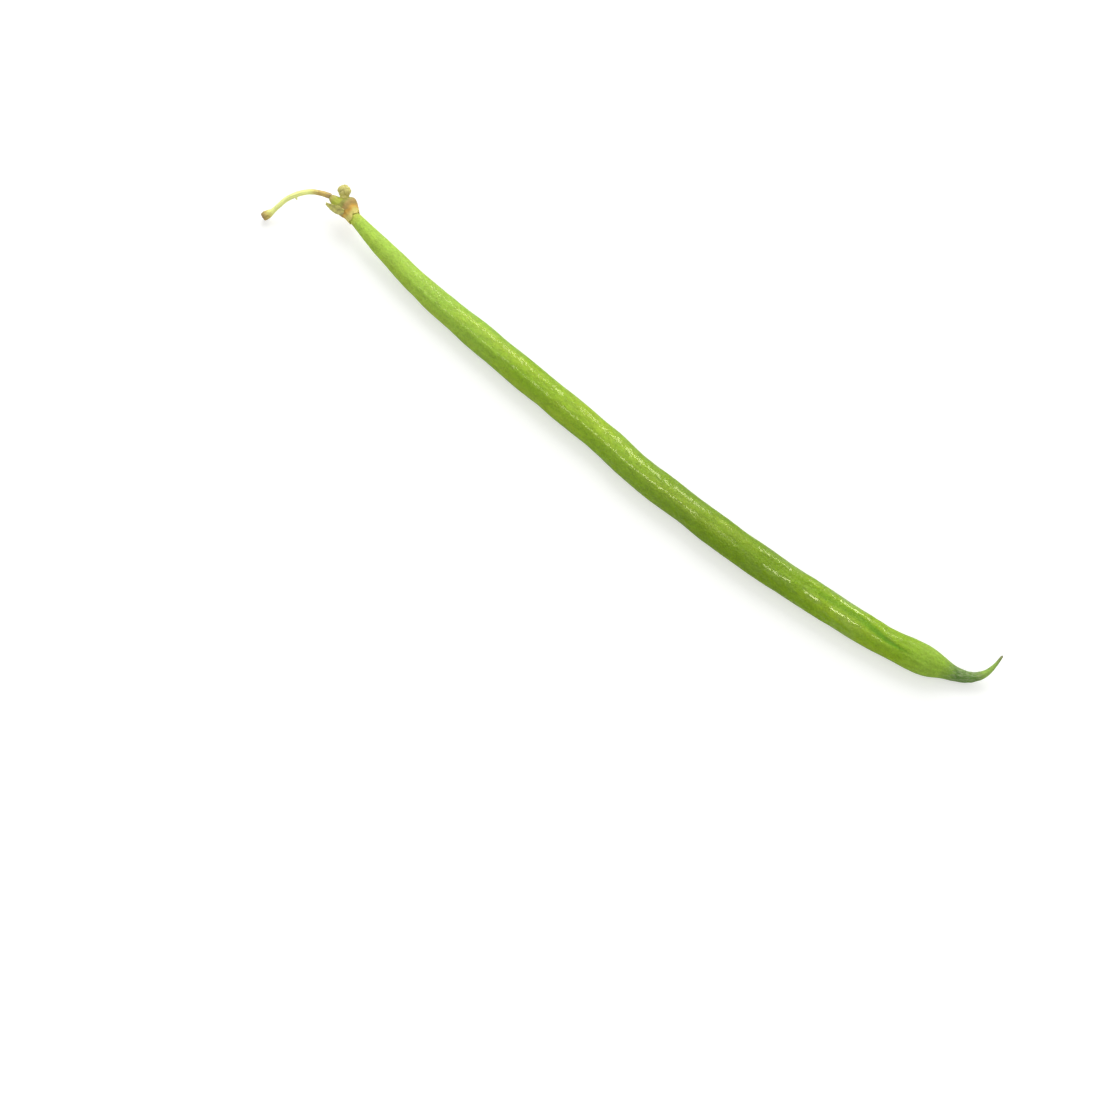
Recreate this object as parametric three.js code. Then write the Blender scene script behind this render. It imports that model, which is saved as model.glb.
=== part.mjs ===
// A picked green bean: pod, calyx, pedicel and two bracteoles, lying on a flat surface.
// Millimetres. +X runs from the stalk end to the beak and +Z is up. The surface is at z = 0, and the
// origin is under the middle of the bean.
import * as THREE from 'three';

// ---------------------------------------------------------------------------------------------
// Driving dimensions, in mm
// ---------------------------------------------------------------------------------------------

// The pod's centreline, from inside the calyx to the tip of the beak. The neck rises a little off
// the surface, the body lies on it, and the beak curls round and up.
const POD_PATH = [
  [-73.1, 3.6, 4.45],
  [-70.7, 3.2, 4.2],
  [-61.8, 1.65, 3.7],
  [-48.7, -0.25, 3.1],
  [-36.0, -1.2, 2.9],
  [-17.0, -2.5, 3.0],
  [0, -3.55, 3.0],
  [9.5, -4.6, 3.02],
  [19.0, -4.85, 3.02],
  [33.0, -5.15, 3.1],
  [50.0, -4.45, 2.95],
  [65.0, -3.2, 2.88],
  [73.0, -1.8, 2.7],
  [78.4, -0.45, 2.15],
  [81.4, 0.5, 1.6],
  [84.0, 1.8, 1.5],
  [85.7, 3.6, 2.1],
  [86.4, 5.4, 3.2],
  [86.6, 8.0, 4.6],
];

// The pod's radius against the distance along its centreline.
const POD_RADII = [
  [0, 0.8],
  [1.2, 1.08],
  [2.5, 1.24],
  [7, 1.63],
  [11.5, 1.98],
  [20, 2.32],
  [32, 2.76],
  [38, 2.98],
  [57, 3.12],
  [76, 3.1],
  [87, 3.18],
  [97, 3.13],
  [107, 3.25],
  [125, 3.09],
  [139, 3.02],
  [147, 2.82],
  [152.5, 2.05],
  [155.7, 1.34],
  [158.5, 0.95],
  [161.5, 0.68],
  [163.6, 0.46],
  [166.5, 0.14],
  [170, 0.1],
];

const POD_SIDES = 28;
const POD_STEP = 2.2; // between rings of the body
const POD_FINE_STEP = 0.9; // between rings of the neck and the beak
const NECK_END = 9;
const BEAK_START = 146;

// The pod is a little deeper from seam to seam than it is wide.
const POD_OVAL = 0.015;
const SEAM_ANGLE = THREE.MathUtils.degToRad(20); // from the top, towards -Y

// Each seed swells the pod slightly.
const SEED_FIRST = 27;
const SEED_LAST = 139;
const SEED_PITCH = 12.4;
const SEED_SWELL = 0.018; // as a share of the radius

// The calyx: a bent green funnel with a wider dry collar, open round the neck of the pod.
const CALYX_PATH = [
  [-77.3, 3.55, 5.0],
  [-75.3, 3.5, 4.72],
  [-73.4, 3.65, 4.5],
  [-71.6, 3.85, 4.35],
];
const CALYX_WALL = [
  // [radius, distance along the calyx], up the outside and down the inside
  [0, 0],
  [0.6, 0],
  [0.85, 0.35],
  [1.05, 1.0],
  [1.25, 2.0],
  [1.5, 2.7],
  [2.05, 3.2],
  [2.38, 3.8],
  [2.46, 4.6],
  [2.47, 5.3],
  [2.32, 5.7],
  [2.12, 5.5],
  [2.05, 4.7],
  [1.55, 4.05],
  [0, 3.85],
];
const CALYX_SIDES = 30;
const CALYX_TEETH = 5;
const TOOTH_HEIGHT = 0.16;
const COLLAR_START = 2; // distance along the calyx where the green funnel ends
const TEETH_START = 4.65; // distance along the calyx where the teeth begin to stand out
const RIM_SLANT = 0.35; // the rim reaches further along the pod opposite its bulge
const CALYX_BULGE = 0.15; // the collar stands out on one side, as a share of its radius
const BULGE_ANGLE = THREE.MathUtils.degToRad(-59); // from the top, towards -Y

// The pedicel: a thin stalk that arches over and comes down to the surface at its swollen end.
const PEDICEL_PATH = [
  [-77.6, 3.55, 5.02],
  [-79.4, 2.75, 5.25],
  [-80.9, 1.8, 5.35],
  [-82.25, 0.5, 5.2],
  [-83.4, -1.05, 4.8],
  [-84.3, -2.5, 4.1],
  [-84.9, -4.0, 3.2],
  [-85.4, -5.3, 2.3],
  [-85.85, -6.4, 1.5],
  [-86.2, -7.15, 1.05],
];
const PEDICEL_RADII = [
  [0, 0.52],
  [1.5, 0.48],
  [5, 0.5],
  [9, 0.49],
  [12.2, 0.47],
  [13.6, 0.55],
  [14.7, 0.84],
  [15.6, 0.84],
  [16.4, 0.5],
  [18, 0.3],
];
const PEDICEL_SIDES = 14;
const PEDICEL_STEP = 0.62;

// The lower bracteole: a small pointed leaf, from its base by the collar to its free tip.
const LOWER_BRACTEOLE_PATH = [
  [-72.6, 2.0, 6.5],
  [-74.4, 1.75, 6.1],
  [-76.95, 1.7, 5.1],
];
const LOWER_BRACTEOLE_RADII = [
  [0, 0.4],
  [1.0, 0.72],
  [2.2, 0.8],
  [3.4, 0.52],
  [4.3, 0.2],
  [5, 0.1],
];
const LOWER_BRACTEOLE_FACE = new THREE.Vector3(0.1, -0.72, 0.68); // the way its flat side looks
const LEAF_THICKNESS = 0.3; // as a share of its width

// The upper bracteole: a withered leaf curled up into a knob on a short neck.
const UPPER_BRACTEOLE_PATH = [
  [-74.9, 5.1, 5.4],
  [-75.35, 5.65, 5.9],
  [-75.75, 6.15, 6.35],
  [-76.15, 6.75, 6.8],
];
const UPPER_BRACTEOLE_RADII = [
  [0, 0.42],
  [0.4, 0.6],
  [0.8, 1.08],
  [1.35, 1.3],
  [1.95, 1.12],
  [2.4, 0.5],
];
const UPPER_BRACTEOLE_FACE = new THREE.Vector3(0, -0.6, 0.8);
const KNOB_FLATNESS = 0.85;

const LEAF_SIDES = 16;
const LEAF_STEP = 0.3;

// Plain finishes, one for each kind of tissue.
const POD_SKIN = { color: 0x86b832, roughness: 0.38 };
const CALYX_TISSUE = { color: 0xb99a4a, roughness: 0.6 };
const STALK_TISSUE = { color: 0xc2bd5c, roughness: 0.55 };
const FRESH_LEAF = { color: 0x93a455, roughness: 0.6 };
const WITHERED_LEAF = { color: 0xa39c45, roughness: 0.6 };

const UP = new THREE.Vector3(0, 0, 1);

// ---------------------------------------------------------------------------------------------
// Shaping
// ---------------------------------------------------------------------------------------------

/** A smooth curve through a list of [x, y, z] points. */
function curveThrough(points) {
  return new THREE.CatmullRomCurve3(points.map((point) => new THREE.Vector3(...point)));
}

/** A function that gives the radius at a distance, read smoothly from [distance, radius] pairs. */
function radiusReader(pairs) {
  const distances = pairs.map((pair) => pair[0]);
  const radii = pairs.map((pair) => pair[1]);
  const reader = new THREE.CubicInterpolant(distances, radii, 1);
  return (distance) => reader.evaluate(distance)[0];
}

/** The profile of a solid of revolution that is closed on its axis at both ends. */
function closedProfile(distances, radiusAt) {
  const last = distances[distances.length - 1];
  const profile = distances.map((distance) => new THREE.Vector2(radiusAt(distance), distance));
  return [new THREE.Vector2(0, 0), ...profile, new THREE.Vector2(0, last)];
}

/** Distances from 0 to length, an even step apart. */
function evenSteps(length, step) {
  const count = Math.round(length / step);
  return Array.from({ length: count + 1 }, (_, index) => (index / count) * length);
}

/**
 * Turns a profile round its own axis and lays the solid along a curve. `face` is the way that the
 * front of the piece looks, and angles are measured from it. `shape` may change each vertex's
 * radius, distance along the curve, and flatness from front to back.
 */
function layAlong(profile, sides, curve, face, shape) {
  const solid = new THREE.LatheGeometry(profile, sides);
  solid.deleteAttribute('normal');
  solid.deleteAttribute('uv');
  const length = curve.getLength();
  const position = solid.getAttribute('position');
  const vertex = new THREE.Vector3();
  for (let index = 0; index < position.count; index += 1) {
    vertex.fromBufferAttribute(position, index);
    const place = {
      radius: Math.hypot(vertex.x, vertex.z),
      angle: Math.atan2(vertex.x, vertex.z),
      distance: vertex.y,
      flatness: 1,
    };
    shape(place);
    const along = THREE.MathUtils.clamp(place.distance / length, 0, 1);
    const tangent = curve.getTangentAt(along);
    const side = tangent.clone().cross(face).normalize();
    const front = side.clone().cross(tangent);
    vertex.copy(curve.getPointAt(along));
    vertex.addScaledVector(side, place.radius * Math.sin(place.angle));
    vertex.addScaledVector(front, place.radius * Math.cos(place.angle) * place.flatness);
    vertex.addScaledVector(tangent, Math.max(place.distance - length, 0));
    position.setXYZ(index, vertex.x, vertex.y, vertex.z);
  }
  return solid;
}

/** Presses what lies under the surface up to it, which leaves a flat strip to rest on. */
function settleOnSurface(solid) {
  const position = solid.getAttribute('position');
  for (let index = 0; index < position.count; index += 1) {
    position.setZ(index, Math.max(position.getZ(index), 0));
  }
}

/** A named mesh with its own material. */
function piece(name, solid, finish) {
  solid.computeVertexNormals();
  const material = new THREE.MeshStandardMaterial({ ...finish, metalness: 0 });
  const mesh = new THREE.Mesh(solid, material);
  mesh.name = name;
  return mesh;
}

// ---------------------------------------------------------------------------------------------
// Sub-parts
// ---------------------------------------------------------------------------------------------

/** Distances of the pod's rings, closer together at the neck and the beak. */
function podSteps(length) {
  const distances = [];
  let distance = 0;
  while (distance < length - POD_FINE_STEP / 2) {
    distances.push(distance);
    distance += distance < NECK_END || distance > BEAK_START ? POD_FINE_STEP : POD_STEP;
  }
  return [...distances, length];
}

/** How much the seeds swell the pod at a distance: most over a seed, least between two. */
function seedSwell(distance) {
  const { smoothstep } = THREE.MathUtils;
  const start = smoothstep(distance, SEED_FIRST - SEED_PITCH, SEED_FIRST);
  const end = 1 - smoothstep(distance, SEED_LAST, SEED_LAST + SEED_PITCH);
  const turn = ((distance - SEED_FIRST) / SEED_PITCH) * 2 * Math.PI;
  return SEED_SWELL * start * end * Math.cos(turn);
}

function makePod() {
  const curve = curveThrough(POD_PATH);
  const profile = closedProfile(podSteps(curve.getLength()), radiusReader(POD_RADII));
  const solid = layAlong(profile, POD_SIDES, curve, UP, (place) => {
    const oval = POD_OVAL * Math.cos(2 * (place.angle - SEAM_ANGLE));
    place.radius *= 1 + oval + seedSwell(place.distance);
  });
  settleOnSurface(solid);
  return piece('pod', solid, POD_SKIN);
}

function makeCalyx() {
  const curve = curveThrough(CALYX_PATH);
  const profile = CALYX_WALL.map(([radius, distance]) => new THREE.Vector2(radius, distance));
  const solid = layAlong(profile, CALYX_SIDES, curve, UP, (place) => {
    const collar = THREE.MathUtils.smoothstep(place.distance, COLLAR_START, TEETH_START);
    place.radius *= 1 + collar * CALYX_BULGE * Math.cos(place.angle - BULGE_ANGLE);
    if (place.distance > TEETH_START) {
      place.distance += TOOTH_HEIGHT * Math.cos(CALYX_TEETH * place.angle);
      place.distance -= RIM_SLANT * Math.cos(place.angle - BULGE_ANGLE);
    }
  });
  return piece('calyx', solid, CALYX_TISSUE);
}

function makePedicel() {
  const curve = curveThrough(PEDICEL_PATH);
  const distances = evenSteps(curve.getLength(), PEDICEL_STEP);
  const profile = closedProfile(distances, radiusReader(PEDICEL_RADII));
  const solid = layAlong(profile, PEDICEL_SIDES, curve, UP, () => {});
  settleOnSurface(solid);
  return piece('pedicel', solid, STALK_TISSUE);
}

function makeBracteole(name, path, radii, face, flatness, finish) {
  const curve = curveThrough(path);
  const distances = evenSteps(curve.getLength(), LEAF_STEP);
  const profile = closedProfile(distances, radiusReader(radii));
  const solid = layAlong(profile, LEAF_SIDES, curve, face, (place) => {
    place.flatness = flatness;
  });
  return piece(name, solid, finish);
}

function makeLowerBracteole() {
  return makeBracteole(
    'bracteole_lower',
    LOWER_BRACTEOLE_PATH,
    LOWER_BRACTEOLE_RADII,
    LOWER_BRACTEOLE_FACE,
    LEAF_THICKNESS,
    FRESH_LEAF,
  );
}

function makeUpperBracteole() {
  return makeBracteole(
    'bracteole_upper',
    UPPER_BRACTEOLE_PATH,
    UPPER_BRACTEOLE_RADII,
    UPPER_BRACTEOLE_FACE,
    KNOB_FLATNESS,
    WITHERED_LEAF,
  );
}

const group = new THREE.Group();
group.add(
  makePod(),
  makeCalyx(),
  makePedicel(),
  makeLowerBracteole(),
  makeUpperBracteole(),
);

export default group;
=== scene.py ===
"""A picked green bean, lying on a surface: pod, calyx, pedicel and two bracteoles.

Laid out as an add-on and run as a script. It's built in metres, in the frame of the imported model: +X
runs from the stalk end to the beak, +Z is up, and the surface is at z = 0. Each piece is modelled
straight, as a blank along +X, and is then bent along its own route.
"""

import bisect
import math

import bmesh
import bpy
from bpy.props import FloatProperty, FloatVectorProperty, PointerProperty
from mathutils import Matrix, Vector, noise


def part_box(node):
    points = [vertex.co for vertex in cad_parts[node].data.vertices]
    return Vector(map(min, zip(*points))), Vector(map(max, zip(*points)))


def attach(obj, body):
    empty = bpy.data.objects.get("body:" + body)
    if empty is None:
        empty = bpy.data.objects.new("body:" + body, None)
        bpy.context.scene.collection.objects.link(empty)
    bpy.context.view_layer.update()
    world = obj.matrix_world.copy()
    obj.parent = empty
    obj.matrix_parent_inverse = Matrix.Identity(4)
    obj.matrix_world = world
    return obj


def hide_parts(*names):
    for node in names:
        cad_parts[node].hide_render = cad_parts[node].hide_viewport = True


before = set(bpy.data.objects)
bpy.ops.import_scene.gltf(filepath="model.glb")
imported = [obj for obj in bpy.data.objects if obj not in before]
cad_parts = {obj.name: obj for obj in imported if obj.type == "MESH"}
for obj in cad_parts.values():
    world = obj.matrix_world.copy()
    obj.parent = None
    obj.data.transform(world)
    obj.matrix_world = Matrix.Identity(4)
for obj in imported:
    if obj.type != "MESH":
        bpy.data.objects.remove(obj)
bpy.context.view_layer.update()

bl_info = {
    "name": "Green bean",
    "version": (1, 0, 0),
    "blender": (4, 5, 0),
    "location": "3D View > Sidebar > Bean",
    "description": "Builds a picked green bean around its packed model",
    "category": "Object",
}

MM = 0.001

# ---- Routes and outlines, in mm ----

# The centreline of the pod, from inside the calyx to the tip of the beak.
POD_ROUTE = (
    (-73.1, 3.6, 4.45), (-70.7, 3.2, 4.2), (-61.8, 1.65, 3.7), (-48.7, -0.25, 3.1),
    (-36.0, -1.2, 2.9), (-17.0, -2.5, 3.0), (0.0, -3.55, 3.0), (9.5, -4.6, 3.02),
    (19.0, -4.85, 3.02), (33.0, -5.15, 3.1), (50.0, -4.45, 2.95), (65.0, -3.2, 2.88),
    (73.0, -1.8, 2.7), (78.4, -0.45, 2.15), (81.4, 0.5, 1.6), (84.0, 1.8, 1.5),
    (85.7, 3.6, 2.1), (86.4, 5.4, 3.2), (86.6, 8.0, 4.6),
)
# (distance along the route, radius)
POD_OUTLINE = (
    (0, 0.8), (1.2, 1.1), (2.5, 1.28), (7, 1.66), (11.5, 2.0), (20, 2.34), (32, 2.76),
    (38, 2.98), (57, 3.12), (76, 3.1), (87, 3.18), (97, 3.13), (107, 3.25), (125, 3.09),
    (138, 2.98), (143, 2.96), (147, 3.02), (149, 2.99), (150.7, 2.76), (152.2, 2.36),
    (153.6, 1.9), (155.4, 1.5), (157.5, 1.2), (159.5, 0.98), (161.5, 0.66), (163.6, 0.4),
    (165.2, 0.3), (166.5, 0.2), (170, 0.2),
)
NECK_END = 9
BEAK_START = 146
NECK_STEP = 0.9
BEAK_STEP = 0.85
POD_SIDES = 24
SEED_FIRST = 27
SEED_LAST = 139
SEED_PITCH = 12.4
# Stretches along the pod: where each begins, is full, begins to fade and is gone.
KEEL_STRETCH = (14, 30, 84, 110)
GROOVE_STRETCH = (100, 128, 150, 156)
BEAK_FOLD_STRETCH = (152, 156, 160, 163)
# (place, width, depth as a share of the deepest) of the creases of the beak
BEAK_CREASES = ((159.6, 0.5, 1.0), (158.2, 0.35, 0.7))
KEEL_WIDTH = 0.95
# Half the distance between the two ridges beside the groove, before and after they close in.
RIDGE_SPREAD = 1.25
RIDGE_SPREAD_BY_BEAK = 0.5
RIDGES_CLOSE = (136, 147)
GROOVE_SHALLOWS = (142, 148)
UNDER_SEAM_HEIGHT = 0.06
UNDER_SEAM_WIDTH = 0.5
# (width, height) of the clouds that make the skin uneven
POD_UNEVENNESS = ((5, 0.16), (1.2, 0.05))
# A dent in the +Y side.
DENT_PLACE = 141
DENT_WIDTH = 3
DENT_DEPTH = 0.3
# How far the seam wanders off the line it would take if it ran straight: (distance, towards -Y).
SEAM_LINE = (
    (0, 0.3), (40, 0.35), (75, 0.3), (100, -0.2), (118, -1.1), (134, -1.2), (138, -0.8),
    (142, 0), (146, 0.3), (152, 0.4), (170, 0.3),
)

# The calyx, from the stalk to its rim round the neck of the pod.
CALYX_ROUTE = (
    (-77.3, 3.55, 5.0), (-75.3, 3.5, 4.72), (-73.1, 3.6, 4.45), (-70.7, 3.2, 4.2),
    (-68.8, 2.87, 4.08),
)
# (distance, radius) up the outside, over the rim and down the inside
CALYX_OUTLINE = (
    (0, 0.6), (0.3, 0.72), (0.7, 0.88), (1.1, 1.02), (1.6, 1.15), (2.2, 1.34), (2.7, 1.6),
    (3.1, 1.9), (3.5, 2.16), (4.0, 2.32), (4.5, 2.28), (5.0, 2.08), (5.5, 1.84), (6.0, 1.66),
    (6.3, 1.6), (6.55, 1.56), (6.75, 1.51), (6.85, 1.45), (6.7, 1.41), (6.35, 1.43), (5.9, 1.5),
    (5.2, 1.6), (4.5, 1.55), (4.1, 1.3), (3.9, 0.9),
)
CALYX_SIDES = 30
CALYX_LENGTH = 7.0
COLLAR_STRETCH = (2.0, 4.2, 4.2, 7.0)
RIBS_RISE = (2.2, 3.6)
RIBS_SINK = (5.4, 6.4)
RIM_START = 6.4
# How far each of the five lobes reaches past the rim, going round from the first towards -Y.
CALYX_LOBES = (0.3, 0.22, 0.26, 0.2, 0.3)
# How much of a lobe's reach each vertex of the rim takes, from the lobe's tip to the next notch.
LOBE_PULL = (1.0, 0.6, -0.1, -0.9)
FIRST_LOBE = math.radians(36)  # from the top, towards -Y

# The pedicel, from the calyx to its swollen end on the surface.
PEDICEL_ROUTE = (
    (-77.6, 3.55, 5.02), (-79.4, 2.75, 5.25), (-80.9, 1.8, 5.35), (-82.25, 0.5, 5.2),
    (-83.4, -1.05, 4.8), (-84.3, -2.5, 4.1), (-84.9, -4.0, 3.2), (-85.4, -5.3, 2.3),
    (-86.1, -6.4, 1.55), (-86.55, -7.15, 1.15),
)
# (distance, radius)
PEDICEL_OUTLINE = (
    (-0.45, 0.56), (0, 0.56), (0.7, 0.58), (1.5, 0.53), (5, 0.55), (9, 0.54), (12.2, 0.5),
    (13.2, 0.58), (14.1, 0.8), (14.8, 0.93), (15.3, 0.9), (15.8, 0.76), (16.2, 0.52), (16.5, 0.2),
)
PEDICEL_SIDES = 12
# How far the swollen end goes on past the route.
PEDICEL_OVERRUN = 0.15
SWELLING_START = 12
STALK_STEP = 0.6
SWELLING_STEP = 0.35
# Where the rough skin of the swollen end begins and is roughest.
ROUGH_RISE = (13, 14.5)
HAIR_PLACE = 7.2
HAIR_WIDTHS = (0.17, 0.14)  # along the stalk and round it
HAIR_ANGLE = math.radians(-115)

# The lower bracteole, from its base by the collar to its free tip.
LOWER_LEAF_ROUTE = ((-72.05, 1.95, 6.4), (-74.3, 1.55, 6.0), (-76.95, 1.7, 5.1))
# (distance, half width)
LOWER_LEAF_OUTLINE = ((0, 0.6), (1.0, 0.9), (2.2, 0.92), (3.4, 0.66), (4.4, 0.4), (5.3, 0.22))
LOWER_LEAF_ROLL = math.radians(-47)
# How far the sides of the leaf stand above its midrib, and how far their edges turn down again.
LEAF_TROUGH = 0.3
LEAF_DROOP = 0.12

# The upper bracteole: a withered leaf curled up into a knob on a short neck.
KNOB_ROUTE = ((-74.9, 5.1, 5.4), (-75.35, 5.65, 5.9), (-75.75, 6.15, 6.35), (-76.15, 6.75, 6.8))
# (distance, radius)
KNOB_OUTLINE = (
    (-0.3, 0.98), (0, 0.95), (0.4, 0.96), (0.75, 1.18), (1.3, 1.36), (1.85, 1.2), (2.3, 0.55),
)
KNOB_SIDES = 16
KNOB_STEP = 0.22
KNOB_FLATNESS = 0.85

# How far a piece's box may be from its node's.
BOX_TOLERANCE = 1.2


# ---- Settings ----

def hex_to_linear(code):
    """The linear RGBA of an sRGB colour that is written in hex."""
    channels = [((code >> shift) & 255) / 255 for shift in (16, 8, 0)]
    linear = [c / 12.92 if c <= 0.04045 else ((c + 0.055) / 1.055) ** 2.4 for c in channels]
    return (*linear, 1.0)


def size_setting(name, description, millimetres):
    """A length that the user can change."""
    return FloatProperty(name=name, description=description, default=millimetres * MM,
                         min=0, precision=5, unit="LENGTH")


def angle_setting(name, description, degrees):
    """An angle that the user can change."""
    return FloatProperty(name=name, description=description, default=math.radians(degrees),
                         subtype="ANGLE")


def colour_setting(name, description, code):
    """A colour that the user can change."""
    return FloatVectorProperty(name=name, description=description, size=4, min=0, max=1,
                               subtype="COLOR", default=hex_to_linear(code))


class PodSettings(bpy.types.PropertyGroup):
    """Sizes and colours of the pod."""
    seam_angle: angle_setting("Seam angle", "How far the seam is turned from the top, towards -Y", 20)
    seed_swell: FloatProperty(
        name="Seed swell", description="How far each seed swells the flanks, as a share of the radius",
        default=0.022, min=0, max=0.2, subtype="FACTOR")
    keel: size_setting("Keel", "How far the seam stands up on the neck half", 0.26)
    groove: size_setting("Groove", "How deep the seam sinks in on the beak half", 0.17)
    wrinkle: size_setting("Wrinkles", "How deep the folds at the root of the beak are", 0.07)
    grain: size_setting("Grain", "Width of the small bumps of the skin", 0.4)
    film_grain: size_setting("Film grain", "Width of the bumps of the wet film", 0.5)
    sprout_colour: colour_setting("Neck end", "The yellow end of the neck in the calyx", 0xCCD25A)
    # The neck and the flank are paler and greyer than the body: partly the skin's own paler green and
    # partly painted sheen.
    neck_and_sheen_colour: colour_setting("Neck", "The pale neck by the calyx", 0xB2D652)
    flank_and_sheen_colour: colour_setting("Flank", "The light skin between the neck and the body", 0x93BC38)
    body_colour: colour_setting("Body", "The skin of the body", 0x8BB21B)
    # The middle is darker: partly the skin's own deeper green and partly painted shade.
    deep_and_shade_colour: colour_setting("Middle", "The deeper green of the middle", 0x7A9D16)
    ripe_colour: colour_setting("Ripe flecks", "Yellower patches of the skin", 0xB4CC38)
    # The groove colour goes into the seam's valley by its depth: partly the seam's own deeper green and
    # partly painted shade.
    groove_and_shade_colour: colour_setting("Groove", "The deep green along the seam", 0x629A10)
    shoulder_colour: colour_setting("Shoulder", "The paler end of the body by the beak", 0x98BD3E)
    beak_colour: colour_setting("Beak", "The grey-green root of the beak", 0x658A40)
    streak_colour: colour_setting("Beak streaks", "The pale dry streaks of the beak", 0xA6B286)
    style_colour: colour_setting("Style", "The thin green end of the beak", 0x9CBE58)
    tip_colour: colour_setting("Tip", "The dry tip of the beak", 0x857C62)


class CalyxSettings(bpy.types.PropertyGroup):
    """Sizes and colours of the calyx."""
    bulge: FloatProperty(
        name="Bulge", description="How far the collar stands out on one side, as a share of its radius",
        default=0.2, min=0, max=0.5, subtype="FACTOR")
    bulge_angle: angle_setting("Bulge angle", "The side of the bulge, from the top, towards -Y", -59)
    rim_slant: size_setting("Rim slant", "How much further the rim reaches opposite the bulge", 0.3)
    rib: size_setting("Ribs", "How far the ribs of the dry collar stand out", 0.06)
    joint_colour: colour_setting("Joint", "The yellow end by the stalk", 0xBEB65A)
    receptacle_colour: colour_setting("Receptacle", "The green part by the stalk", 0xB8C242)
    olive_colour: colour_setting("Shoulder", "The olive shoulder of the collar", 0x9A9A46)
    collar_colour: colour_setting("Collar", "The dry collar", 0xB0944C)
    band_colour: colour_setting("Band", "The orange band before the rim", 0xE4B24A)
    rim_colour: colour_setting("Rim", "The papery lobes of the rim", 0xE6D774)
    stain_colour: colour_setting("Stains", "The brown stains of the collar", 0xAE824C)


class PedicelSettings(bpy.types.PropertyGroup):
    """Sizes and colours of the pedicel."""
    flute: size_setting("Flutes", "How deep the long furrows of the stalk are", 0.025)
    hair: size_setting("Hair", "Length of the stub of a hair under the stalk", 0.75)
    node_colour: colour_setting("Node", "The browned joint by the calyx", 0xB0965F)
    root_colour: colour_setting("Root", "The brown stretch by the calyx", 0xC6AA58)
    middle_colour: colour_setting("Middle", "The pale middle of the stalk", 0xF6FFA0)
    swelling_colour: colour_setting("Swelling", "The swollen end", 0xD6C468)
    scar_colour: colour_setting("Scar", "The scar where it was picked", 0x9E8250)


class BracteoleSettings(bpy.types.PropertyGroup):
    """Sizes and colours of the two bracteoles."""
    thickness: size_setting("Thickness", "Thickness of the lower leaf", 0.2)
    crumple: size_setting("Crumple", "How deep the folds of the upper leaf are", 0.17)
    # Each darker colour is laid where its leaf's surface sinks, as painted shade, and along its veins.
    lower_colour: colour_setting("Lower leaf", "The grey-green of the lower leaf", 0xD3CE72)
    lower_shade_and_vein_colour: colour_setting("Lower leaf, dry", "Its drying tip and base", 0x97904F)
    upper_colour: colour_setting("Upper leaf", "The olive yellow of the knob", 0xDAD27A)
    upper_shade_and_vein_colour: colour_setting("Upper leaf, dry", "The folds of the knob", 0xAAA052)


class StageSettings(bpy.types.PropertyGroup):
    """The surface, the lamps and the camera."""
    floor_size: FloatProperty(
        name="Floor size", description="Side of the square surface", default=6, unit="LENGTH")
    camera_azimuth: angle_setting("Azimuth", "Direction of the camera, from -Y towards +X", 39.5)
    camera_elevation: angle_setting("Elevation", "Height of the camera above the horizon", 65)
    camera_distance: FloatProperty(
        name="Distance", description="From the camera to the point it aims at", default=0.5,
        unit="LENGTH")
    lens: FloatProperty(
        name="Lens", description="Focal length", default=85, unit="CAMERA")
    key_power: FloatProperty(
        name="Key lamp", description="Power of the large soft lamp overhead", default=7.5,
        unit="POWER")
    glint_power: FloatProperty(
        name="Glint lamps", description="Power of each strip lamp that makes the wet glints",
        default=12, unit="POWER")
    ambient: FloatProperty(
        name="Ambient", description="Light that comes from all sides", default=0.64, min=0)


# ---- Modelling ----

def smoothstep(value, start, end):
    """0 before start, 1 after end, and a smooth rise between them."""
    share = min(max((value - start) / (end - start), 0), 1)
    return share * share * (3 - 2 * share)


def within(value, stretch):
    """1 in the middle of a stretch (begins, full, fades, gone), 0 outside it, smooth between."""
    begins, full, fades, gone = stretch
    return smoothstep(value, begins, full) * (1 - smoothstep(value, fades, gone))


def hump(value, middle, width):
    """1 at the middle, falling smoothly to nothing over a few widths."""
    return math.exp(-((value - middle) / width) ** 2)


def smooth_reader(pairs):
    """A function that reads a value smoothly between (distance, value) pairs."""
    distances = [pair[0] for pair in pairs]
    last = len(pairs) - 1

    def slope(index):
        before = pairs[max(index - 1, 0)]
        after = pairs[min(index + 1, last)]
        return (after[1] - before[1]) / (after[0] - before[0])

    def read(distance):
        index = min(max(bisect.bisect_right(distances, distance) - 1, 0), last - 1)
        (start, low), (end, high) = pairs[index], pairs[index + 1]
        span = end - start
        share = min(max((distance - start) / span, 0), 1)
        rise = share * share * (3 - 2 * share)
        leave = share * (1 - share) ** 2 * span * slope(index)
        arrive = share ** 2 * (1 - share) * span * slope(index + 1)
        return low + (high - low) * rise + leave - arrive

    return read


def surface_point(distance, angle, radius):
    """A place on a straight blank as a point, in mm, to read noise at."""
    return Vector((distance, radius * math.sin(angle), radius * math.cos(angle)))


def even_steps(start, end, step):
    """Distances from start to end, an even step apart."""
    count = max(1, round((end - start) / step))
    return [start + (end - start) * index / count for index in range(count + 1)]


def deselect_all():
    """Leaves nothing selected, so that an operator acts only on what is made next."""
    bpy.ops.object.select_all(action="DESELECT")


def select_vertices(piece, test):
    """In edit mode, selects the vertices whose place passes the test."""
    bpy.context.tool_settings.mesh_select_mode = (True, False, False)
    cage = bmesh.from_edit_mesh(piece.data)
    for part in (*cage.faces, *cage.edges, *cage.verts):
        part.select = False
    for vertex in cage.verts:
        vertex.select = test(vertex.co)
    cage.select_flush(True)
    bmesh.update_edit_mesh(piece.data)


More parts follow.
